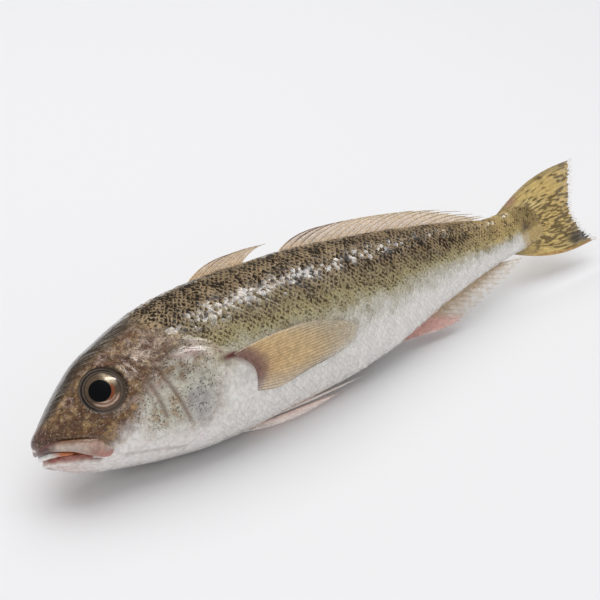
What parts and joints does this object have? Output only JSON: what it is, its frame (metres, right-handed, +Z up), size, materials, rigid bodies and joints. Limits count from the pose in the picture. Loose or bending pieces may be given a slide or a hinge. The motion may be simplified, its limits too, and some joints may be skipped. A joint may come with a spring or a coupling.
{
  "type": "whole raw fish",
  "caption": "Whole raw fish with head, fins and tail on, lying on its belly and leaning onto one side, mouth slightly open, as laid out for sale or cooking.",
  "frame": {"origin": "under the middle of the whole fish's box, at the height of the table it lies on", "axes": "+X from the snout to the tail, +Z up from the table, -Y the side that the left flank leans up from"},
  "size_m": [0.3016, 0.0546, 0.0548],
  "materials": {
    "skin": "wet, scaly, dark brown speckle on the back to silver white on the belly",
    "eye": "clear wet cornea over a black pupil and a bronze iris"
  },
  "bodies": {
    "root": {"fish": "skin", "eye_left": "eye", "eye_right": "eye"}
  },
  "joints": []
}
